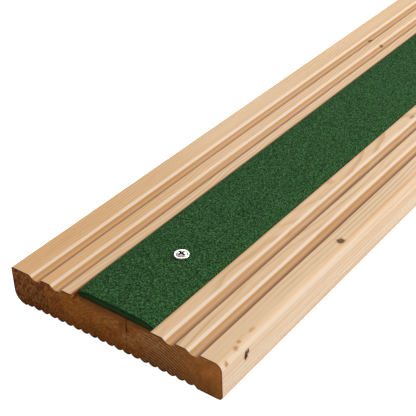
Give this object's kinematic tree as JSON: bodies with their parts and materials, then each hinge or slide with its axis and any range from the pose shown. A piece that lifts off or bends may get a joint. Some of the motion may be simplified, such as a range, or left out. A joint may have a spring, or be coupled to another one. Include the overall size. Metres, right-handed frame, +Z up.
{
  "type": "anti-slip decking board",
  "caption": "Grooved softwood decking board with a green grit-coated anti-slip strip let into its top, held by wood screws in cup washers.",
  "frame": {"origin": "centre of the underside, on the plane that the board rests on", "axes": "+Y along the board's length, +X across its width, +Z up through the grooved face"},
  "size_m": [0.145, 0.9, 0.0288],
  "materials": {
    "softwood": "planed softwood, untreated, with darker sawn ends",
    "green_laminate": "glass-reinforced plastic, satin cut edges",
    "green_grit": "resin-bonded mineral grit, coarse and matt",
    "stainless": "bright stainless steel"
  },
  "bodies": {
    "root": {"deck_board": "softwood", "strip_laminate": "green_laminate", "grit_topcoat": "green_grit", "cup_washer_1": "stainless", "cup_washer_2": "stainless", "cup_washer_3": "stainless", "screw_1": "stainless", "screw_2": "stainless", "screw_3": "stainless"}
  },
  "joints": []
}
